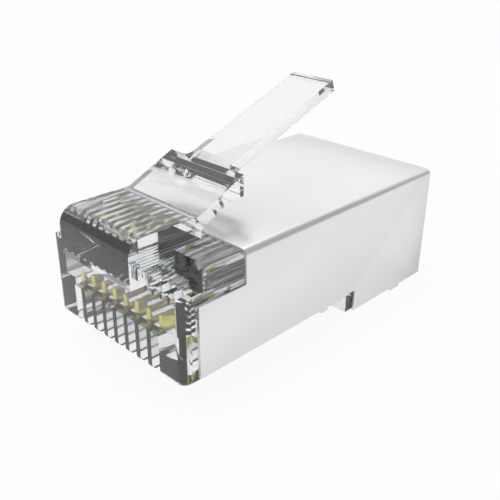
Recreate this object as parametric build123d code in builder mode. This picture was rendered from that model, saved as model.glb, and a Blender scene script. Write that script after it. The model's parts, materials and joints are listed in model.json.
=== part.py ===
from build123d import *
from math import cos, radians, sin, tan
import os

os.makedirs("parts", exist_ok=True)

# Modular plug for eight wires, with a folded metal shield and a sprung latch.
# Millimetres, +Z up, nose towards -Y, latch on top.
# Origin: under the middle of the plug, on the plane that the underside tabs reach.

# Standard nose sizes of an eight-way modular plug
pitch = 1.016
contact_count = 8
body_width = 11.68
shoulder_height = 6.5
comb_height = 5.15
latch_base_width = 6.15
latch_base_lead = 0.95
latch_base_height = 7.85

# Lengths of the moulding, measured back from the front face of the comb
ear_setback = 1.35
shoulder_setback = 1.95
cheek_recess_setback = 0.62
step_setback = 13.7
body_length = 21.65
ear_width = 0.95

# The rear section is deeper than the nose on the contact side
rear_depth = 1.1

# Shield, folded from sheet
sheet = 0.2
shield_fit = 0.03
shield_proud = 0.12
shield_rise = 0.15
bend_radius = 0.4
shield_setback = 4.39
shield_rear = 21.97
cheek_setback = 1.05
cheek_height = 4.63
cheek_lower_edge = 0.26
cheek_recess_height = 5.2
notch_width = 0.6
notch_height = 0.1

# Tabs of the shield that are bent under the moulding
front_tab_setback = 10.95
front_tab_width = 0.6
front_tab_reach = 1.0
rear_tab_setback = 18.5
rear_tab_width = 1.0
rear_tab_reach = 1.6

# Comb slots and contact blades; every second blade has the wide front tooth
slot_width = 0.66
slot_height = 2.45
slot_length = 6.55
blade_thickness = 0.32
blade_fit = 0.02
blade_setback = 1.2
blade_length = 5.05
blade_nose_low = 2.15
blade_nose_ramp = 1.65
blade_lower_edge = 0.65
narrow_tooth = 0.25
wide_tooth = 0.6
narrow_tooth_back = 0.1
wide_tooth_back = 0.65
front_tooth_height = 0.8
tooth_count = 2
first_tooth = 2.95
tooth_pitch = 1.5
tooth_width = 0.7
tooth_bite = 0.15

# Wire tray: the wires lie in it in two rows, so that neighbours are staggered
wire_diameter = 0.96
row_stagger = 0.8
tray_width = 10.5
tray_floor = 2.6
tray_roof = 4.4

# Wire funnel and cable cavity behind the tray
funnel_front = 10.75
funnel_back = 14.75
cavity_width = 9.4
cavity_wall = 0.75
cavity_corner = 1.6

# Strain-relief bar in the cavity floor, held by a thin web at its front
bar_setback = 15.55
bar_length = 2.3
bar_width = 6.6
bar_gap = 0.3
bar_web = 0.3
bar_web_length = 0.5
bar_ridge = 0.4
bar_ridge_length = 0.9

# Edge rounding of the moulding
base_nose_radius = 1.0
shoulder_radius = 0.57
comb_side_radius = 0.58
comb_lower_radius = 0.34

# Latch lever
hinge_setback = 3.85
hinge_radius = 0.42
hinge_clearance = 0.03
arm_rise = 24.4
arm_end = 7.03
arm_thickness = 0.74
pad_setback = 5.75
pad_rise = 6.5
tail_width = 3.25
tail_thickness = 0.76
tail_rise = 21.0
tail_length = 9.85
tail_root_radius = 0.5
tail_step = 0.04
tail_tip_radius = 0.12

# Places worked out from the sizes above
shield_width = body_width + 2 * shield_proud
shield_height = shoulder_height + shield_rise
overall_length = latch_base_lead + shield_rear
nose_y = latch_base_lead - overall_length / 2
comb_z = rear_depth + shield_fit + sheet
core_width = shield_width - 2 * (sheet + shield_fit)
core_height = shield_height - sheet - shield_fit
core_corner_radius = shoulder_radius - (sheet + shield_fit - shield_proud)
plate_lower_edge = -(rear_depth + shield_fit)
cavity_floor = cavity_wall - rear_depth
cavity_roof = core_height - cavity_wall
hinge_height = latch_base_height - hinge_radius
tray_setback = blade_setback - blade_fit

# Side view plane through the lower front edge of the comb
side = Plane((0, nose_y, comb_z), x_dir=(0, 1, 0), z_dir=(1, 0, 0))


def across(setback):
    """Upright plane across the plug, a distance behind the comb's front face."""
    return Plane((0, nose_y + setback, comb_z), x_dir=(1, 0, 0), z_dir=(0, -1, 0))


def level(height):
    """Level plane, a height above the comb's lower edge."""
    return Plane((0, nose_y, comb_z + height), x_dir=(1, 0, 0), z_dir=(0, 0, 1))


def contact_x(index):
    """Sideways place of a contact, counted from the left."""
    return (index - (contact_count - 1) / 2) * pitch


def frame(front, back, low, high):
    """Rectangle given by its edges in the sketch plane, in either order."""
    with Locations(((front + back) / 2, (low + high) / 2)):
        Rectangle(abs(back - front), abs(high - low))


# Housing: comb, shoulders and the deeper rear section
with BuildPart() as housing:
    with BuildSketch(side):
        with BuildLine():
            Polyline(
                (0, 0),
                (step_setback, 0),
                (step_setback, -rear_depth),
                (body_length, -rear_depth),
                (body_length, core_height),
                (shield_setback, core_height),
                (shield_setback, shoulder_height),
                (ear_setback, shoulder_height),
                (ear_setback, comb_height),
                (0, comb_height),
                close=True,
            )
        make_face()
    extrude(amount=body_width / 2, both=True)

    # Rounded shoulders, and comb rounded at its sides, toe and lower edges
    ear_y = nose_y + ear_setback
    fillet(housing.edges().filter_by(Axis.Z).filter_by_position(Axis.Y, ear_y, ear_y), shoulder_radius)
    shoulder_z = comb_z + shoulder_height
    shoulder_top = housing.faces().filter_by_position(Axis.Z, shoulder_z, shoulder_z)
    rim = shoulder_top.edges().filter_by_position(
        Axis.Y, nose_y, nose_y + shield_setback, inclusive=(True, False)
    )
    fillet(rim, shoulder_radius)
    comb_sides = housing.edges().filter_by(Axis.Z).filter_by_position(Axis.Y, nose_y, nose_y)
    fillet(comb_sides, comb_side_radius)
    step_y = nose_y + step_setback
    comb_bottom = housing.edges().filter_by_position(Axis.Z, comb_z, comb_z)
    fillet(comb_bottom.filter_by_position(Axis.Y, nose_y, step_y, inclusive=(True, False)), comb_lower_radius)

    # The shoulders stand further back beside the latch base than at their outer ears
    with BuildSketch(level(comb_height)):
        frame(ear_width - body_width / 2, body_width / 2 - ear_width, ear_setback, shoulder_setback)
    extrude(amount=shoulder_height, mode=Mode.SUBTRACT)

    # Recess for the shield: the cheeks reach further forward than its upper edge
    for hand in (1, -1):
        with BuildSketch(side.offset(hand * core_width / 2)):
            frame(cheek_recess_setback, body_length, -rear_depth, cheek_recess_height)
            frame(shield_setback, body_length, 0, shoulder_height)
        extrude(amount=hand * body_width, mode=Mode.SUBTRACT)

        # Rounded upper edge of the core, under the bend of the shield
        corner_x = hand * (core_width / 2 - core_corner_radius)
        corner_height = core_height - core_corner_radius
        with BuildSketch(across(shield_setback)):
            frame(corner_x, hand * body_width / 2, corner_height, core_height)
            with Locations((corner_x, corner_height)):
                Circle(core_corner_radius, mode=Mode.SUBTRACT)
        extrude(amount=shield_setback - body_length, mode=Mode.SUBTRACT)

    # Latch base, with the seat of the latch root at its back
    with BuildSketch(side):
        frame(-latch_base_lead, hinge_setback, comb_height, latch_base_height)
        with Locations((hinge_setback, hinge_height)):
            Circle(hinge_radius + hinge_clearance, mode=Mode.SUBTRACT)
    extrude(amount=latch_base_width / 2, both=True)
    base_front = housing.edges().filter_by(Axis.X).group_by(Axis.Y)[0]
    fillet(base_front.sort_by(Axis.Z)[-1], base_nose_radius)

    # Open slots between the comb teeth
    with BuildSketch(across(0)):
        with Locations((0, slot_height / 2)):
            with GridLocations(pitch, 0, contact_count, 1):
                Rectangle(slot_width, slot_height)
    extrude(amount=-slot_length, mode=Mode.SUBTRACT)

    # Narrow slots that grip the blades, between the comb slots and the wire tray
    with BuildSketch(across(tray_setback)):
        with Locations((0, (slot_height + tray_floor) / 2)):
            with GridLocations(pitch, 0, contact_count, 1):
                Rectangle(blade_thickness + 2 * blade_fit, tray_floor - slot_height)
    extrude(amount=-(blade_length + 2 * blade_fit), mode=Mode.SUBTRACT)

    # Wire tray, funnel and cable cavity
    with BuildSketch(across(tray_setback)):
        frame(-tray_width / 2, tray_width / 2, tray_floor, tray_roof)
    extrude(amount=tray_setback - funnel_front, mode=Mode.SUBTRACT)
    with BuildSketch(across(funnel_front)):
        frame(-tray_width / 2, tray_width / 2, tray_floor, tray_roof)
    with BuildSketch(across(funnel_back)):
        frame(-cavity_width / 2, cavity_width / 2, cavity_floor, cavity_roof)
    loft(mode=Mode.SUBTRACT)
    with BuildSketch(across(funnel_back)) as cavity_profile:
        frame(-cavity_width / 2, cavity_width / 2, cavity_floor, cavity_roof)
        fillet(cavity_profile.vertices(), cavity_corner)
    extrude(amount=funnel_back - body_length, mode=Mode.SUBTRACT)

    # Strain-relief bar: a window round three sides, a thinned web and a gripping ridge
    bar_end = bar_setback + bar_length
    with BuildSketch(level(-rear_depth)):
        frame(-bar_width / 2 - bar_gap, bar_width / 2 + bar_gap, bar_setback, bar_end + bar_gap)
        with Locations((0, bar_setback + bar_length / 2)):
            Rectangle(bar_width, bar_length, mode=Mode.SUBTRACT)
    extrude(amount=cavity_wall + cavity_corner, mode=Mode.SUBTRACT)
    with BuildSketch(level(bar_web - rear_depth)):
        frame(-bar_width / 2, bar_width / 2, bar_setback, bar_setback + bar_web_length)
    extrude(amount=cavity_wall + cavity_corner, mode=Mode.SUBTRACT)
    with BuildSketch(side):
        with BuildLine():
            Polyline(
                (bar_end - bar_ridge_length, cavity_floor),
                (bar_end, cavity_floor),
                (bar_end, cavity_floor + bar_ridge),
                close=True,
            )
        make_face()
    extrude(amount=bar_width / 2 - cavity_corner / 2, both=True)

    # Pockets in the underside for the front tabs of the shield
    for hand in (1, -1):
        with BuildSketch(level(0)):
            inner = shield_width / 2 - front_tab_reach - shield_fit
            pocket_front = front_tab_setback - shield_fit
            pocket_back = front_tab_setback + front_tab_width + shield_fit
            frame(hand * inner, hand * body_width / 2, pocket_front, pocket_back)
        extrude(amount=cheek_lower_edge + shield_fit, mode=Mode.SUBTRACT)

# Latch lever: rounded root, wide arm with locking shoulders, narrow tail
arm_slope = tan(radians(arm_rise))
arm_top_y = hinge_setback - hinge_radius * sin(radians(arm_rise))
arm_top_z = hinge_height + hinge_radius * cos(radians(arm_rise))
arm_end_z = arm_top_z + (arm_end - arm_top_y) * arm_slope
arm_drop = arm_thickness / cos(radians(arm_rise))
tail_root_z = arm_end_z - tail_step
tail_drop = tail_thickness / cos(radians(tail_rise))
tail_run = tail_length * cos(radians(tail_rise))
tail_climb = tail_length * sin(radians(tail_rise))
tail_back_y = tail_thickness * sin(radians(tail_rise))
tail_back_z = tail_thickness * cos(radians(tail_rise))


def arm_top(setback):
    """Height of the arm's upper face at a setback."""
    return arm_top_z + (setback - arm_top_y) * arm_slope


# The underside flattens near the arm's end, so the locking shoulders are deeper than the arm
pad_z = arm_top(pad_setback) - arm_drop
with BuildPart() as latch:
    with BuildSketch(side):
        with BuildLine():
            Polyline(
                (arm_top_y, arm_top_z),
                (arm_end, arm_end_z),
                (arm_end, pad_z + (arm_end - pad_setback) * tan(radians(pad_rise))),
                (pad_setback, pad_z),
                (hinge_setback, arm_top(hinge_setback) - arm_drop),
                (hinge_setback, hinge_height),
                close=True,
            )
        make_face()
        with Locations((hinge_setback, hinge_height)):
            Circle(hinge_radius)
    extrude(amount=latch_base_width / 2, both=True)
    with BuildSketch(side):
        with BuildLine():
            Polyline(
                (arm_end, tail_root_z),
                (arm_end + tail_run, tail_root_z + tail_climb),
                (arm_end + tail_run + tail_back_y, tail_root_z + tail_climb - tail_back_z),
                (arm_end, tail_root_z - tail_drop),
                (pad_setback, pad_z),
                (pad_setback, arm_top(pad_setback) - tail_step),
                close=True,
            )
        make_face()
    extrude(amount=tail_width / 2, both=True)
    root_y = nose_y + arm_end
    tail_roots = latch.edges().filter_by(Axis.Z).filter_by_position(Axis.Y, root_y, root_y)
    inner_roots = tail_roots.filter_by_position(Axis.X, -tail_width / 2, tail_width / 2)
    fillet(inner_roots, tail_root_radius)
    fillet(latch.edges().filter_by(Axis.X).group_by(Axis.Y)[-1], tail_tip_radius)

# Shield: arch of sheet, trimmed in side view, with tabs bent under
with BuildPart() as shield:
    with BuildSketch(across(cheek_setback)) as arch:
        frame(-shield_width / 2, shield_width / 2, plate_lower_edge, shield_height)
        fillet(arch.vertices().group_by(Axis.Y)[-1], bend_radius)
    extrude(amount=cheek_setback - shield_rear)
    with BuildSketch(across(cheek_setback)) as hollow:
        inner_half = shield_width / 2 - sheet
        frame(-inner_half, inner_half, plate_lower_edge, shield_height - sheet)
        fillet(hollow.vertices().group_by(Axis.Y)[-1], bend_radius - sheet)
    extrude(amount=cheek_setback - shield_rear, mode=Mode.SUBTRACT)
    with BuildSketch(side):
        frame(0, shield_setback, cheek_height, shield_height)
        frame(0, step_setback + notch_width, plate_lower_edge, cheek_lower_edge)
        frame(step_setback, step_setback + notch_width, plate_lower_edge, cheek_lower_edge + notch_height)
    extrude(amount=shield_width, both=True, mode=Mode.SUBTRACT)
    for hand in (1, -1):
        outer = hand * shield_width / 2
        for edge, start, width, reach in (
            (cheek_lower_edge, front_tab_setback, front_tab_width, front_tab_reach),
            (plate_lower_edge, rear_tab_setback, rear_tab_width, rear_tab_reach),
        ):
            with BuildSketch(level(edge - sheet)):
                frame(outer - hand * reach, outer, start, start + width)
            extrude(amount=sheet)


def contact_blade(index):
    """One insulation-piercing blade: every second one has a wide front tooth and taller rear teeth."""
    wide = index % 2
    front_tooth_end = blade_setback + (wide_tooth if wide else narrow_tooth)
    front_tooth_back = tray_floor + (wide_tooth_back if wide else narrow_tooth_back)
    rear_tip = tray_floor + wire_diameter / 2 + row_stagger * wide + tooth_bite
    blade_back = blade_setback + blade_length
    with BuildPart() as blade:
        with BuildSketch(side.offset(contact_x(index))):
            with BuildLine():
                Polyline(
                    (blade_setback, blade_nose_low),
                    (blade_setback, tray_floor + front_tooth_height),
                    (front_tooth_end, front_tooth_back),
                    (front_tooth_end, tray_floor),
                    (blade_back, tray_floor),
                    (blade_back, blade_lower_edge),
                    (blade_setback + blade_nose_ramp, blade_lower_edge),
                    close=True,
                )
            make_face()
            for tooth in range(tooth_count):
                start = first_tooth + tooth * tooth_pitch
                with BuildLine():
                    Polyline(
                        (start, tray_floor),
                        (start, tray_floor + wire_diameter / 2),
                        (start + tooth_width / 2, rear_tip),
                        (start + tooth_width, tray_floor + wire_diameter / 2),
                        (start + tooth_width, tray_floor),
                        close=True,
                    )
                make_face()
        extrude(amount=blade_thickness / 2, both=True)
    return blade.part


housing.part.label = "housing"
latch.part.label = "latch"
shield.part.label = "shield"
export_step(housing.part, "parts/housing.step")
export_step(latch.part, "parts/latch.step")
export_step(shield.part, "parts/shield.step")
for index in range(contact_count):
    contact = contact_blade(index)
    contact.label = f"contact_{index + 1}"
    export_step(contact, f"parts/{contact.label}.step")
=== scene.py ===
"""Looks of a clear eight-way modular plug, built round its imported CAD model.

Metres throughout, in the CAD frame: +Z up, nose towards -Y, latch on top.
"""

from __future__ import annotations

import json
import logging
import math
from dataclasses import dataclass
from enum import Enum

import bmesh
import bpy
from mathutils import Matrix, Vector

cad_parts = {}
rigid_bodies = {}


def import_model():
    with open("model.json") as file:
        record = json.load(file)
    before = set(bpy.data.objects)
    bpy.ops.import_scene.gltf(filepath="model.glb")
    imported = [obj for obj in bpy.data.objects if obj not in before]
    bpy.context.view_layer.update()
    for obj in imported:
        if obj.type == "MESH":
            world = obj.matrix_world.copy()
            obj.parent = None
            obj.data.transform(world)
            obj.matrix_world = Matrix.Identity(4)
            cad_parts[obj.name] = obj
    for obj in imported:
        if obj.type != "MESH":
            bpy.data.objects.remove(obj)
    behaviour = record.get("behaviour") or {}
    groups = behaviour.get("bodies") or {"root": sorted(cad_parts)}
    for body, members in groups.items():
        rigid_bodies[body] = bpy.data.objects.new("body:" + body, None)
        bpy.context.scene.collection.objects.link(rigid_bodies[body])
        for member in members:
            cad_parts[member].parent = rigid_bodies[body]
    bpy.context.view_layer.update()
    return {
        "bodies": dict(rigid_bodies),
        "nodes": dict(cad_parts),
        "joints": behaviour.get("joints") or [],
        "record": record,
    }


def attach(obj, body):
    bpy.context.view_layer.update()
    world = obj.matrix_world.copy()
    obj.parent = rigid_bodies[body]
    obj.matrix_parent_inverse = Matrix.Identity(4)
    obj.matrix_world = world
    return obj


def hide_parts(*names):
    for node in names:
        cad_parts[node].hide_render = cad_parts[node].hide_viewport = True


LOG = logging.getLogger("plug")
MM = 0.001
WHITE = "#FFFFFF"
# Corners nearer than this are one, in metres.
CORNER_WELD = 1e-7
# Facets that meet at less than this become one face.
FLAT_ANGLE = math.radians(0.5)
# Edges bent by more than this stay sharp, or are rounded.
SHARP_ANGLE = math.radians(30.0)


class Body(Enum):
    """CAD bodies that pieces ride on."""

    PLUG = "plug_body"
    LATCH = "latch_lever"


class Slot(Enum):
    """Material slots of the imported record."""

    CLEAR = "clear_polycarbonate"
    NICKEL = "nickel_plated_steel"
    GOLD = "gold_plated_bronze"


def linear(code: str) -> tuple[float, float, float, float]:
    """Turns an sRGB hex colour into the linear values that sockets take.

    Args:
        code: Colour such as "#C0C0C0".

    Returns:
        Red, green, blue and full opacity.
    """
    shares = [int(code[start : start + 2], 16) / 255 for start in (1, 3, 5)]
    # The curve below, with its numbers, is the one of the sRGB standard.
    red, green, blue = (
        share / 12.92 if share <= 0.04045 else ((share + 0.055) / 1.055) ** 2.4 for share in shares
    )
    return red, green, blue, 1.0


def add_node(
    tree: bpy.types.NodeTree, kind: str, inputs: dict | None = None, **settings: object
) -> bpy.types.Node:
    """Adds a node, sets its properties, and fills or links its inputs.

    Args:
        tree: Node tree that gets the node.
        kind: Blender's type name of the node.
        inputs: Value, linked socket or list of linked sockets for each input, by name or number.
        **settings: Properties of the node.

    Returns:
        The new node.
    """
    node = tree.nodes.new(kind)
    for name, value in settings.items():
        setattr(node, name, value)
    for name, value in (inputs or {}).items():
        if isinstance(value, (list, bpy.types.NodeSocket)):
            for source in value if isinstance(value, list) else [value]:
                tree.links.new(source, node.inputs[name])
        else:
            node.inputs[name].default_value = value
    return node


def new_material(name: str) -> bpy.types.Material:
    """Makes an empty node material.

    Args:
        name: Name of the real material.

    Returns:
        The material, with no nodes in it.
    """
    material = bpy.data.materials.new(name)
    material.use_nodes = True
    material.node_tree.nodes.clear()
    return material


@dataclass(frozen=True)
class ClearPolycarbonate:
    """Injection-moulded polycarbonate, polished in the mould.

    The eye gets a water-clear body with bright edges, and faint flow lines that bend what is behind.
    """

    name: str = "clear_polycarbonate_moulded"
    colour: str = "#F6F8F9"
    refraction: float = 1.585
    clearness: float = 0.962
    smooth_roughness: float = 0.0
    flow_roughness: float = 0.008
    # Flow marks of a small moulding at their real size.
    flow_spacing: float = 3.0 * MM
    flow_height: float = 0.0001 * MM
    flow_detail: float = 2.0
    flow_distortion: float = 0.6
    flow_low: float = 0.35
    flow_high: float = 0.75

    def build(self) -> bpy.types.Material:
        """Builds the material.

        Returns:
            The material.
        """
        material = new_material(self.name)
        tree = material.node_tree
        place = add_node(tree, "ShaderNodeTexCoord").outputs["Object"]
        flow = add_node(
            tree,
            "ShaderNodeTexNoise",
            {
                "Vector": place,
                "Scale": 1 / self.flow_spacing,
                "Detail": self.flow_detail,
                "Distortion": self.flow_distortion,
            },
        ).outputs["Fac"]
        roughness = add_node(
            tree,
            "ShaderNodeMapRange",
            {
                "Value": flow,
                "From Min": self.flow_low,
                "From Max": self.flow_high,
                "To Min": self.smooth_roughness,
                "To Max": self.flow_roughness,
            },
        ).outputs["Result"]
        bump = add_node(
            tree,
            "ShaderNodeBump",
            {"Height": flow, "Distance": self.flow_height, "Strength": 1.0},
        ).outputs["Normal"]
        shader = add_node(
            tree,
            "ShaderNodeBsdfPrincipled",
            {
                "Base Color": linear(self.colour),
                "IOR": self.refraction,
                "Transmission Weight": self.clearness,
                "Roughness": roughness,
                "Normal": bump,
            },
        )
        add_node(tree, "ShaderNodeOutputMaterial", {"Surface": shader.outputs["BSDF"]})
        return material


@dataclass(frozen=True)
class NickelPlatedSteel:
    """Cold-rolled steel sheet, stamped, folded and plated with satin nickel.

    The eye gets a soft, nearly white sheen, with fine rolling lines along the plug and faint cloudiness.
    """

    name: str = "nickel_plated_steel_satin"
    bright: str = "#F3F3F3"
    dull: str = "#ECECEC"
    roughness_low: float = 0.30
    roughness_high: float = 0.38
    # Real rolling lines lie some hundredths of a millimetre apart, which is too fine to show. They are
    # drawn coarser, about two pixels of the render apart.
    line_spacing: float = 0.12 * MM
    line_stretch: float = 0.04
    line_height: float = 0.0006 * MM
    line_detail: float = 3.0
    line_low: float = 0.3
    line_high: float = 0.7
    # Clouds of the plating bath at their real size.
    cloud_size: float = 6.0 * MM
    cloud_detail: float = 2.0

    def build(self) -> bpy.types.Material:
        """Builds the material.

        Returns:
            The material.
        """
        material = new_material(self.name)
        tree = material.node_tree
        place = add_node(tree, "ShaderNodeTexCoord").outputs["Object"]
        along = add_node(
            tree,
            "ShaderNodeMapping",
            {"Vector": place, "Scale": (1.0, self.line_stretch, 1.0)},
        ).outputs["Vector"]
        lines = add_node(
            tree,
            "ShaderNodeTexNoise",
            {"Vector": along, "Scale": 1 / self.line_spacing, "Detail": self.line_detail},
        ).outputs["Fac"]
        clouds = add_node(
            tree,
            "ShaderNodeTexNoise",
            {"Vector": place, "Scale": 1 / self.cloud_size, "Detail": self.cloud_detail},
        ).outputs["Fac"]
        mix = add_node(
            tree,
            "ShaderNodeMix",
            {"Factor": clouds, "A": linear(self.dull), "B": linear(self.bright)},
            data_type="RGBA",
        )
        roughness = add_node(
            tree,
            "ShaderNodeMapRange",
            {
                "Value": lines,
                "From Min": self.line_low,
                "From Max": self.line_high,
                "To Min": self.roughness_low,
                "To Max": self.roughness_high,
            },
        ).outputs["Result"]
        bump = add_node(
            tree,
            "ShaderNodeBump",
            {"Height": lines, "Distance": self.line_height, "Strength": 1.0},
        ).outputs["Normal"]
        shader = add_node(
            tree,
            "ShaderNodeBsdfPrincipled",
            {
                "Base Color": mix.outputs[2],
                "Metallic": 1.0,
                "Roughness": roughness,
                "Normal": bump,
            },
        )
        add_node(tree, "ShaderNodeOutputMaterial", {"Surface": shader.outputs["BSDF"]})
        return material


@dataclass(frozen=True)
class GoldPlatedBronze:
    """Phosphor bronze, stamped into blades and flash-plated with hard gold.

    The eye gets a bright lemon gold, a little darker in the stamping lines.
    """

    name: str = "gold_plated_phosphor_bronze"
    bright: str = "#F2E640"
    dull: str = "#E0D030"
    roughness_low: float = 0.18
    roughness_high: float = 0.3
    # Real stamping lines lie some hundredths of a millimetre apart. They are drawn coarser, as far apart
    # as they need to show.
    line_spacing: float = 0.08 * MM
    line_height: float = 0.0005 * MM
    line_detail: float = 2.0

    def build(self) -> bpy.types.Material:
        """Builds the material.

        Returns:
            The material.
        """
        material = new_material(self.name)
        tree = material.node_tree
        place = add_node(tree, "ShaderNodeTexCoord").outputs["Object"]
        lines = add_node(
            tree,
            "ShaderNodeTexNoise",
            {"Vector": place, "Scale": 1 / self.line_spacing, "Detail": self.line_detail},
        ).outputs["Fac"]
        mix = add_node(
            tree,
            "ShaderNodeMix",
            {"Factor": lines, "A": linear(self.dull), "B": linear(self.bright)},
            data_type="RGBA",
        )
        roughness = add_node(
            tree,
            "ShaderNodeMapRange",
            {"Value": lines, "To Min": self.roughness_low, "To Max": self.roughness_high},
        ).outputs["Result"]
        bump = add_node(
            tree,
            "ShaderNodeBump",
            {"Height": lines, "Distance": self.line_height, "Strength": 1.0},
        ).outputs["Normal"]
        shader = add_node(
            tree,
            "ShaderNodeBsdfPrincipled",
            {
                "Base Color": mix.outputs[2],
                "Metallic": 1.0,
                "Roughness": roughness,
                "Normal": bump,
            },
        )
        add_node(tree, "ShaderNodeOutputMaterial", {"Surface": shader.outputs["BSDF"]})
        return material


def smooth(mesh: bpy.types.Mesh) -> None:
    """Smooths a mesh's faces and keeps its sharp edges."""
    mesh.shade_smooth()
    mesh.set_sharp_from_angle(angle=SHARP_ANGLE)


def merged_copy(source: bpy.types.Object, name: str) -> bpy.types.Object:
    """Copies a CAD node with its corners welded and its flat facets joined.

    Args:
        source: CAD node.
        name: Name of the copy.

    Returns:
        The copy, linked to the scene.
    """
    shell = bmesh.new()
    for corner in source.data.vertices:
        shell.verts.new(corner.co)
    shell.verts.ensure_lookup_table()
    for face in source.data.polygons:
        if shell.faces.get([shell.verts[i] for i in face.vertices]) is None:
            shell.faces.new([shell.verts[i] for i in face.vertices])
    bmesh.ops.remove_doubles(shell, verts=shell.verts, dist=CORNER_WELD)
    bmesh.ops.dissolve_limit(
        shell,
        angle_limit=FLAT_ANGLE,
        verts=shell.verts,
        edges=shell.edges,
        use_dissolve_boundaries=False,
    )
    mesh = bpy.data.meshes.new(name)
    shell.to_mesh(mesh)
    shell.free()
    smooth(mesh)
    copy = bpy.data.objects.new(name, mesh)
    bpy.context.scene.collection.objects.link(copy)
    return copy


def rounded(piece: bpy.types.Object, width: float, segments: int) -> bpy.types.Object:
    """Rounds a piece's sharp edges and keeps the result as its plain mesh.

    Args:
        piece: Piece to round.
        width: Size of the rounding, in metres.
        segments: Facets across it.

    Returns:
        The piece.
    """
    bevel = piece.modifiers.new("edge_rounding", "BEVEL")
    bevel.width = width
    bevel.segments = segments
    bevel.limit_method = "ANGLE"
    bevel.angle_limit = SHARP_ANGLE
    return plain(piece)


def plain(piece: bpy.types.Object) -> bpy.types.Object:
    """Turns a piece's modifiers into its own mesh.

    Args:
        piece: Piece with modifiers.

    Returns:
        The piece, with none.
    """
    graph = bpy.context.evaluated_depsgraph_get()
    mesh = bpy.data.meshes.new_from_object(piece.evaluated_get(graph), depsgraph=graph)
    mesh.name = piece.name
    piece.modifiers.clear()
    piece.data = mesh
    return piece


class ShapeTree:
    """A Geometry Nodes tree with named inputs, which shapes one piece."""

    def __init__(self, name: str, inputs: dict[str, tuple[str, object]]) -> None:
        """Starts the tree.

        Args:
            name: Name of the tree.
            inputs: Socket kind and value of each named input.
        """
        self.tree = bpy.data.node_groups.new(name, "GeometryNodeTree")
        sockets = self.tree.interface
        sockets.new_socket("Geometry", in_out="INPUT", socket_type="NodeSocketGeometry")
        self.values: dict[str, object] = {}
        for label, (kind, value) in inputs.items():
            socket = sockets.new_socket(label, in_out="INPUT", socket_type=f"NodeSocket{kind}")
            self.values[socket.identifier] = value
        sockets.new_socket("Geometry", in_out="OUTPUT", socket_type="NodeSocketGeometry")
        self.given = add_node(self.tree, "NodeGroupInput").outputs

    def add(self, kind: str, inputs: dict | None = None, **settings: object) -> bpy.types.NodeSocket:
        """Adds a node and gives its first output."""
        return add_node(self.tree, kind, inputs, **settings).outputs[0]

    def end(self, host: bpy.types.Object, geometry: bpy.types.NodeSocket) -> None:
        """Ends the tree and hangs it on the piece that it shapes.

        Args:
            host: Piece whose mesh goes into the tree.
            geometry: Last socket of the shape, without its finish.
        """
        single = self.add("GeometryNodeRealizeInstances", {"Geometry": geometry})
        dressed = self.add(
            "GeometryNodeSetMaterial", {"Geometry": single, "Material": self.given["Finish"]}
        )
        add_node(self.tree, "NodeGroupOutput", {0: dressed})
        modifier = host.modifiers.new(self.tree.name, "NODES")
        modifier.node_group = self.tree
        for identifier, value in self.values.items():
            modifier[identifier] = value


def dress(piece: bpy.types.Object, finish: bpy.types.Material) -> None:
    """Gives a piece its only material."""
    piece.data.materials.clear()
    piece.data.materials.append(finish)


@dataclass(frozen=True)
class Prism:
    """A solid across the plug, with its width and its side-view outline (Y, Z) in millimetres."""

    name: str
    width: float
    outline: tuple[tuple[float, float], ...]

    def join(self, piece: bpy.types.Object) -> None:
        """Joins the solid to a piece.

        Args:
            piece: Piece that gets it.
        """
        half = self.width / 2 * MM
        count = len(self.outline)
        mesh = bpy.data.meshes.new(self.name)
        mesh.from_pydata(
            [(side * half, y * MM, z * MM) for side in (-1, 1) for y, z in self.outline],
            [],
            [tuple(range(count)), tuple(range(2 * count - 1, count - 1, -1))]
            + [(i, i + count, (i + 1) % count + count, (i + 1) % count) for i in range(count)],
        )
        shell = bmesh.new()
        shell.from_mesh(mesh)
        bmesh.ops.recalc_face_normals(shell, faces=shell.faces)
        shell.to_mesh(mesh)
        shell.free()
        solid = bpy.data.objects.new(self.name, mesh)
        bpy.context.scene.collection.objects.link(solid)
        join = piece.modifiers.new(self.name, "BOOLEAN")
        join.operation = "UNION"
        join.solver = "EXACT"
        join.object = solid
        plain(piece)
        bpy.data.objects.remove(solid)


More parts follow.
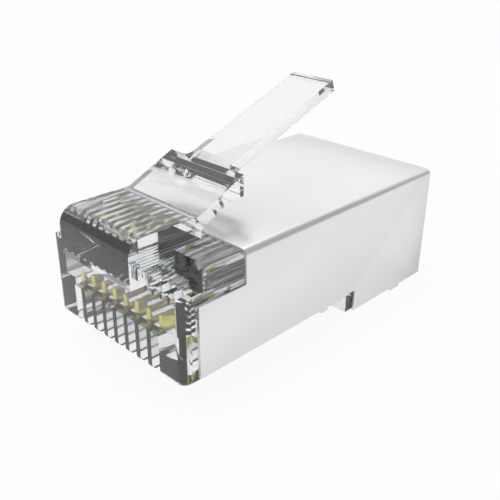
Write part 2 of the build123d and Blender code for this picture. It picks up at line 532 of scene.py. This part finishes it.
@dataclass
class ClearMoulding:
    """The housing and the latch lever, moulded in clear plastic."""

    finish: bpy.types.Material
    # Grooves that guide the wires, which show through the block as stripes.
    groove_count: int = 16
    groove_pitch: float = 0.6096 * MM
    groove_radius: float = 0.25 * MM
    groove_depth: float = 0.5 * MM
    groove_facets: int = 6
    tray_roof: float = 5.73 * MM
    tray_front: float = -9.33 * MM
    tray_back: float = 0.2 * MM
    gusset: Prism = Prism(
        "tail_gusset", 3.0, ((-3.9, 9.468), (-2.53, 9.6245), (-2.185, 10.389), (-3.9, 10.0))
    )
    # The heel is narrower than the pad, whose outline stays, and it clears the shield when the latch is
    # pressed.
    heel: Prism = Prism(
        "pad_heel", 4.9, ((-3.9, 9.4), (-2.959, 9.506), (-3.48, 10.655), (-3.9, 10.3))
    )

    def build(self, frame: dict) -> list[bpy.types.Object]:
        """Builds both clear pieces from the CAD shapes.

        Args:
            frame: The loaded CAD frame.

        Returns:
            The housing and the latch.
        """
        pieces = []
        for node, name, body in (
            ("housing", "clear_housing", Body.PLUG),
            ("latch", "clear_latch", Body.LATCH),
        ):
            piece = merged_copy(frame["nodes"][node], name)
            if body is Body.PLUG:
                self.cut_wire_grooves(piece)
            else:
                self.fill_pad(piece)
            dress(piece, self.finish)
            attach(piece, body.value)
            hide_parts(node)
            pieces.append(piece)
        return pieces

    def fill_pad(self, latch: bpy.types.Object) -> None:
        """Gives the locking pad its leaning back face, and a gusset where the tail leaves it.

        Args:
            latch: Copy of the latch.
        """
        self.heel.join(latch)
        self.gusset.join(latch)
        smooth(latch.data)

    def cut_wire_grooves(self, housing: bpy.types.Object) -> None:
        """Cuts the grooves that guide the wires into the roof of the wire tray.

        Args:
            housing: Copy of the housing.
        """
        rule = ShapeTree(
            "wire_groove_rule",
            {
                "Count": ("Int", self.groove_count),
                "Pitch": ("Float", self.groove_pitch / MM),
                "Radius": ("Float", self.groove_radius / MM),
                "Depth Ratio": ("Float", self.groove_depth / self.groove_radius),
                "Length": ("Float", (self.tray_back - self.tray_front) / MM),
                "Finish": ("Material", self.finish),
            },
        )
        # The cut is made in millimetres, where small sizes keep their last digits.
        large = rule.add(
            "GeometryNodeTransform", {"Geometry": rule.given["Geometry"], "Scale": (1 / MM,) * 3}
        )
        bar = rule.add(
            "GeometryNodeMeshCylinder",
            {
                "Vertices": self.groove_facets,
                "Radius": rule.given["Radius"],
                "Depth": rule.given["Length"],
            },
        )
        quarter_turn = (math.pi / 2, 0.0, 0.0)
        lying = rule.add("GeometryNodeTransform", {"Geometry": bar, "Rotation": quarter_turn})
        stretch = rule.add(
            "ShaderNodeCombineXYZ", {"X": 1.0, "Y": 1.0, "Z": rule.given["Depth Ratio"]}
        )
        deep = rule.add("GeometryNodeTransform", {"Geometry": lying, "Scale": stretch})
        start = -(self.groove_count - 1) / 2 * self.groove_pitch / MM
        middle = (self.tray_front + self.tray_back) / 2 / MM
        step = rule.add("ShaderNodeCombineXYZ", {"X": rule.given["Pitch"]})
        places = rule.add(
            "GeometryNodeMeshLine",
            {
                "Count": rule.given["Count"],
                "Start Location": (start, middle, self.tray_roof / MM),
                "Offset": step,
            },
            mode="OFFSET",
        )
        bars = rule.add("GeometryNodeInstanceOnPoints", {"Points": places, "Instance": deep})
        solid_bars = rule.add("GeometryNodeRealizeInstances", {"Geometry": bars})
        cut = rule.add(
            "GeometryNodeMeshBoolean",
            {"Mesh 1": large, "Mesh 2": solid_bars},
            operation="DIFFERENCE",
            solver="EXACT",
        )
        rule.end(housing, rule.add("GeometryNodeTransform", {"Geometry": cut, "Scale": (MM,) * 3}))
        plain(housing)
        smooth(housing.data)


@dataclass
class ContactRow:
    """The eight gold blades, low and high ones in turn, gripped by the moulding."""

    finish: bpy.types.Material
    count: int = 8
    pitch: float = 1.016 * MM
    edge: float = 0.012 * MM
    edge_segments: int = 1

    def build(self, frame: dict) -> bpy.types.Object:
        """Builds the row from the first two blades of the CAD.

        Args:
            frame: The loaded CAD frame.

        Returns:
            The row, as one piece.
        """
        row = self.blade(frame["nodes"]["contact_1"], "contact_row")
        high = self.blade(frame["nodes"]["contact_2"], "high_blade")
        rule = ShapeTree(
            "contact_row_rule",
            {
                "Count": ("Int", self.count),
                "Pitch": ("Float", self.pitch),
                "High Blade": ("Object", high),
                "Finish": ("Material", self.finish),
            },
        )
        step = rule.add("ShaderNodeCombineXYZ", {"X": rule.given["Pitch"]})
        places = rule.add(
            "GeometryNodeMeshLine", {"Count": rule.given["Count"], "Offset": step}, mode="OFFSET"
        )
        number = rule.add("GeometryNodeInputIndex")
        is_high = rule.add("ShaderNodeMath", {0: number, 1: 2.0}, operation="MODULO")
        is_low = rule.add("ShaderNodeMath", {0: 1.0, 1: is_high}, operation="SUBTRACT")
        # The high blade stands one pitch from the low one, so it goes back by that before it repeats.
        one_back = rule.add(
            "ShaderNodeMath", {0: rule.given["Pitch"], 1: -1.0}, operation="MULTIPLY"
        )
        back = rule.add("ShaderNodeCombineXYZ", {"X": one_back})
        read = add_node(rule.tree, "GeometryNodeObjectInfo", {"Object": rule.given["High Blade"]})
        tall = rule.add(
            "GeometryNodeTransform", {"Geometry": read.outputs["Geometry"], "Translation": back}
        )
        low_ones = rule.add(
            "GeometryNodeInstanceOnPoints",
            {"Points": places, "Selection": is_low, "Instance": rule.given["Geometry"]},
        )
        high_ones = rule.add(
            "GeometryNodeInstanceOnPoints",
            {"Points": places, "Selection": is_high, "Instance": tall},
        )
        rule.end(row, rule.add("GeometryNodeJoinGeometry", {"Geometry": [high_ones, low_ones]}))
        plain(row)
        bpy.data.objects.remove(high)
        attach(row, Body.PLUG.value)
        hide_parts(*(f"contact_{number}" for number in range(1, self.count + 1)))
        return row

    def blade(self, source: bpy.types.Object, name: str) -> bpy.types.Object:
        """Copies a CAD blade under a new name, with its stamped edges broken."""
        return rounded(merged_copy(source, name), self.edge, self.edge_segments)


@dataclass(frozen=True)
class Tab:
    """One of a pair of tabs, bent from the walls under the moulding.

    It starts at a place along the plug and has a width along it and a reach across it.
    """

    start: float
    width: float
    reach: float


@dataclass
class FoldedShield:
    """The shield, folded from plated sheet round an arch and trimmed by its blanking die."""

    finish: bpy.types.Material
    width: float = 11.92 * MM
    sheet: float = 0.2 * MM
    bend_radius: float = 0.4 * MM
    bend_facets: int = 12
    top: float = 7.98 * MM
    lower_edge: float = 0.2 * MM
    front: float = -9.46 * MM
    rear: float = 11.46 * MM
    roof_front: float = -6.12 * MM
    cheek_top: float = 5.96 * MM
    cheek_lower_edge: float = 1.59 * MM
    step: float = 3.19 * MM
    notch_width: float = 0.6 * MM
    notch_height: float = 0.1 * MM
    front_tab: Tab = Tab(0.44 * MM, 0.6 * MM, 1.0 * MM)
    rear_tab: Tab = Tab(7.99 * MM, 1.0 * MM, 1.6 * MM)
    # How far the untrimmed sheet and the trimming tools reach past the shield.
    spare: float = 2.0 * MM
    weld: float = 0.001 * MM
    edge: float = 0.03 * MM
    edge_segments: int = 2

    def build(self) -> bpy.types.Object:
        """Builds the shield with its sheared edges broken.

        Returns:
            The shield.
        """
        mesh = bpy.data.meshes.new("folded_shield")
        piece = bpy.data.objects.new("folded_shield", mesh)
        bpy.context.scene.collection.objects.link(piece)
        self.fold(piece)
        plain(piece)
        smooth(piece.data)
        rounded(piece, self.edge, self.edge_segments)
        smooth(piece.data)
        dress(piece, self.finish)
        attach(piece, Body.PLUG.value)
        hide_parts("shield")
        return piece

    def fold(self, piece: bpy.types.Object) -> None:
        """Sweeps the sheet round the arch, trims it, and adds the tabs bent under it.

        Args:
            piece: Empty piece that gets the shape.
        """
        foot = self.lower_edge - self.spare
        rule = ShapeTree(
            "folded_shield_rule",
            {
                "Path Width": ("Float", (self.width - self.sheet) / MM),
                "Path Height": ("Float", (self.top - self.sheet / 2 - foot) / MM),
                "Path Radius": ("Float", (self.bend_radius - self.sheet / 2) / MM),
                "Bend Facets": ("Int", self.bend_facets),
                "Sheet": ("Float", self.sheet / MM),
                "Length": ("Float", (self.rear - self.front) / MM),
                "Weld": ("Float", self.weld / MM),
                "Finish": ("Material", self.finish),
            },
        )
        path = rule.add(
            "GeometryNodeCurvePrimitiveQuadrilateral",
            {"Width": rule.given["Path Width"], "Height": rule.given["Path Height"]},
        )
        bent = rule.add(
            "GeometryNodeFilletCurve",
            {
                "Curve": path,
                "Count": rule.given["Bend Facets"],
                "Radius": rule.given["Path Radius"],
            },
            mode="POLY",
        )
        strip = rule.add(
            "GeometryNodeCurvePrimitiveQuadrilateral",
            {"Width": rule.given["Sheet"], "Height": rule.given["Length"]},
        )
        tube = rule.add("GeometryNodeCurveToMesh", {"Curve": bent, "Profile Curve": strip})
        middle = (0.0, (self.front + self.rear) / 2 / MM, (self.top - self.sheet / 2 + foot) / 2 / MM)
        quarter_turn = (math.pi / 2, 0.0, 0.0)
        folded = rule.add(
            "GeometryNodeTransform",
            {"Geometry": tube, "Translation": middle, "Rotation": quarter_turn},
        )
        for low, high in self.trims(foot):
            tool = self.block(rule, self.width + 2 * self.spare, low, high)
            folded = rule.add(
                "GeometryNodeMeshBoolean",
                {"Mesh 1": folded, "Mesh 2": tool},
                operation="DIFFERENCE",
                solver="EXACT",
            )
        for edge, tab in ((self.cheek_lower_edge, self.front_tab), (self.lower_edge, self.rear_tab)):
            bar = self.block(
                rule, tab.reach, (tab.start, edge - self.sheet), (tab.start + tab.width, edge)
            )
            across = (self.width - tab.reach) / MM
            pair = rule.add(
                "GeometryNodeMeshLine",
                {"Count": 2, "Start Location": (-across / 2, 0.0, 0.0), "Offset": (across, 0.0, 0.0)},
                mode="OFFSET",
            )
            both = rule.add("GeometryNodeInstanceOnPoints", {"Points": pair, "Instance": bar})
            tabs = rule.add("GeometryNodeRealizeInstances", {"Geometry": both})
            folded = rule.add(
                "GeometryNodeMeshBoolean", {"Mesh 2": [folded, tabs]}, operation="UNION", solver="EXACT"
            )
        folded = rule.add(
            "GeometryNodeMergeByDistance", {"Geometry": folded, "Distance": rule.given["Weld"]}
        )
        rule.end(piece, rule.add("GeometryNodeTransform", {"Geometry": folded, "Scale": (MM,) * 3}))

    def trims(self, foot: float) -> tuple[tuple[tuple[float, float], tuple[float, float]], ...]:
        """Gives what the blanking die takes off, seen from the side.

        Args:
            foot: Lower end of the untrimmed sheet.

        Returns:
            Low and high corner of each cut: under the walls, under the cheeks, the notch at the step,
            and over the cheeks before the roof.
        """
        front, rear = self.front - self.spare, self.rear + self.spare
        under, over = foot - self.spare, self.top + self.spare
        notch_end = self.step + self.notch_width
        return (
            ((front, under), (rear, self.lower_edge)),
            ((front, under), (self.step + self.notch_width / 2, self.cheek_lower_edge)),
            ((self.step, under), (notch_end, self.cheek_lower_edge + self.notch_height)),
            ((front, self.cheek_top), (self.roof_front, over)),
        )

    @staticmethod
    def block(
        rule: ShapeTree, width: float, low: tuple[float, float], high: tuple[float, float]
    ) -> bpy.types.NodeSocket:
        """Adds a block centred across the plug.

        Args:
            rule: Tree that gets the block.
            width: Size across the plug.
            low: Front and lower edge.
            high: Rear and upper edge.

        Returns:
            Socket with the block, in millimetres.
        """
        size = (width / MM, (high[0] - low[0]) / MM, (high[1] - low[1]) / MM)
        middle = (0.0, (low[0] + high[0]) / 2 / MM, (low[1] + high[1]) / 2 / MM)
        cube = rule.add("GeometryNodeMeshCube", {"Size": size})
        return rule.add("GeometryNodeTransform", {"Geometry": cube, "Translation": middle})


@dataclass(frozen=True)
class Flag:
    """A soft step in the surroundings' brightness, by how near a ray runs to one direction.

    The nearness is the dot product of both. The surroundings are white where it has the start value, and
    have the grey level where it has the full one.
    """

    middle: tuple[float, float, float]
    start: float
    full: float
    level: float


@dataclass(frozen=True)
class Lamp:
    """A square soft lamp that looks at the plug, in metres and watts."""

    name: str
    place: tuple[float, float, float]
    size: float
    power: float

    def build(self) -> None:
        """Builds the lamp."""
        data = bpy.data.lights.new(self.name, "AREA")
        data.shape = "SQUARE"
        data.size = self.size
        data.energy = self.power
        lamp = bpy.data.objects.new(self.name, data)
        lamp.location = self.place
        lamp.rotation_mode = "QUATERNION"
        lamp.rotation_quaternion = (-Vector(self.place)).to_track_quat("-Z", "Y")
        bpy.context.scene.collection.objects.link(lamp)


@dataclass
class Studio:
    """Pale floor, soft lamps and white surroundings."""

    floor_half: float = 1.0
    # Strength of the surroundings for the rays that light the plug. The camera sees them at 1.
    ambient: float = 0.55
    # Metal mirrors white at the left rear, and grey elsewhere.
    mirror_flag: Flag = Flag((-0.628, 0.641, 0.442), 0.92, 0.5, 0.42)
    # Clear plastic shows a dark room before the nose, which darkens the facets that look there.
    clear_flag: Flag = Flag((0.0, -0.9, 0.436), 0.35, 0.6, 0.08)
    # Share of the floor that glows instead of being lit, as seen straight or through plastic, and as
    # seen in metal. The rest of it keeps the shadow.
    floor_glow: float = 0.93
    mirrored_glow: float = 0.55
    floor_colour: str = "#F4F4F4"
    key: Lamp = Lamp("key_lamp", (-0.10, -0.05, 0.40), 0.30, 0.6)
    fill: Lamp = Lamp("fill_lamp", (0.30, -0.20, 0.22), 0.30, 0.2)

    def build(self) -> None:
        """Builds everything round the plug."""
        self.make_world()
        self.make_floor()
        self.key.build()
        self.fill.build()

    def make_world(self) -> None:
        """Makes white surroundings that light softly, with grey zones that metal and plastic show."""
        world = bpy.data.worlds.new("studio_surroundings")
        bpy.context.scene.world = world
        world.use_nodes = True
        tree = world.node_tree
        tree.nodes.clear()
        path = add_node(tree, "ShaderNodeLightPath").outputs
        toward = add_node(tree, "ShaderNodeTexCoord").outputs["Generated"]
        strength = self.ambient
        for ray, flag in (("Is Glossy Ray", self.mirror_flag), ("Is Transmission Ray", self.clear_flag)):
            near = add_node(
                tree, "ShaderNodeVectorMath", {0: toward, 1: flag.middle}, operation="DOT_PRODUCT"
            ).outputs["Value"]
            brightness = add_node(
                tree,
                "ShaderNodeMapRange",
                {
                    "Value": near,
                    "From Min": flag.start,
                    "From Max": flag.full,
                    "To Min": 1.0,
                    "To Max": flag.level,
                },
                interpolation_type="SMOOTHSTEP",
            ).outputs["Result"]
            strength = add_node(
                tree, "ShaderNodeMix", {"Factor": path[ray], "A": strength, "B": brightness}
            ).outputs[0]
        strength = add_node(
            tree, "ShaderNodeMix", {"Factor": path["Is Camera Ray"], "A": strength, "B": 1.0}
        ).outputs[0]
        background = add_node(
            tree, "ShaderNodeBackground", {"Color": linear(WHITE), "Strength": strength}
        )
        add_node(tree, "ShaderNodeOutputWorld", {"Surface": background.outputs[0]})

    def glow_share(self, tree: bpy.types.NodeTree) -> bpy.types.NodeSocket:
        """Gives the floor's glow, which only seeing rays meet and lighting rays don't.

        Args:
            tree: Node tree to work in.

        Returns:
            Socket with the glow's share of what a ray meets.
        """
        path = add_node(tree, "ShaderNodeLightPath").outputs
        shares = [
            add_node(tree, "ShaderNodeMath", {0: path[ray], 1: share}, operation="MULTIPLY").outputs[0]
            for ray, share in (
                ("Is Camera Ray", self.floor_glow),
                ("Is Transmission Ray", self.floor_glow),
                ("Is Glossy Ray", self.mirrored_glow),
            )
        ]
        largest = shares[0]
        for share in shares[1:]:
            largest = add_node(
                tree, "ShaderNodeMath", {0: largest, 1: share}, operation="MAXIMUM"
            ).outputs[0]
        return largest

    def make_floor(self) -> None:
        """Makes the pale floor, which keeps a faint shadow."""
        mesh = bpy.data.meshes.new("studio_floor")
        half = self.floor_half
        mesh.from_pydata(
            [(-half, -half, 0), (half, -half, 0), (half, half, 0), (-half, half, 0)], [], [(0, 1, 2, 3)]
        )
        floor = bpy.data.objects.new("studio_floor", mesh)
        bpy.context.scene.collection.objects.link(floor)
        material = new_material("studio_floor_paper")
        tree = material.node_tree
        paper = add_node(tree, "ShaderNodeBsdfDiffuse", {"Color": linear(self.floor_colour)})
        glow = add_node(tree, "ShaderNodeEmission", {"Color": linear(WHITE), "Strength": 1.0})
        mix = add_node(
            tree,
            "ShaderNodeMixShader",
            {0: self.glow_share(tree), 1: paper.outputs[0], 2: glow.outputs[0]},
        )
        add_node(tree, "ShaderNodeOutputMaterial", {"Surface": mix.outputs[0]})
        mesh.materials.append(material)


@dataclass(frozen=True)
class PhotoCamera:
    """Camera at the photograph's viewing angle, in metres, degrees and millimetres of lens."""

    place: tuple[float, float, float] = (0.028811, -0.029208, 0.023994)
    azimuth: float = 44.416
    elevation: float = 26.218
    roll: float = 0.525
    lens: float = 50.805
    nearest: float = 0.002
    farthest: float = 5.0

    def build(self) -> None:
        """Builds the camera and makes it the scene's own."""
        azimuth, elevation, roll = (math.radians(a) for a in (self.azimuth, self.elevation, self.roll))
        look = Vector(
            (
                -math.sin(azimuth) * math.cos(elevation),
                math.cos(azimuth) * math.cos(elevation),
                -math.sin(elevation),
            )
        )
        level = Vector((math.cos(azimuth), math.sin(azimuth), 0.0))
        upright = level.cross(look)
        right = level * math.cos(roll) + upright * math.sin(roll)
        up = upright * math.cos(roll) - level * math.sin(roll)
        data = bpy.data.cameras.new("photo_camera")
        data.lens = self.lens
        data.clip_start = self.nearest
        data.clip_end = self.farthest
        camera = bpy.data.objects.new("photo_camera", data)
        turn = Matrix((right, up, -look)).transposed().to_4x4()
        camera.matrix_world = Matrix.Translation(self.place) @ turn
        bpy.context.scene.collection.objects.link(camera)
        bpy.context.scene.camera = camera


def main() -> None:
    """Builds the looks round the CAD frame."""
    logging.basicConfig(level=logging.INFO, format="%(name)s: %(message)s")
    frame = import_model()
    bpy.context.scene.view_settings.view_transform = "Standard"
    PhotoCamera().build()
    Studio().build()
    clear = ClearPolycarbonate().build()
    nickel = NickelPlatedSteel().build()
    gold = GoldPlatedBronze().build()
    pieces = ClearMoulding(clear).build(frame)
    pieces += [FoldedShield(nickel).build(), ContactRow(gold).build(frame)]
    for piece in pieces:
        LOG.info("%s: %d faces", piece.name, len(piece.data.polygons))


if __name__ == "__main__":
    main()
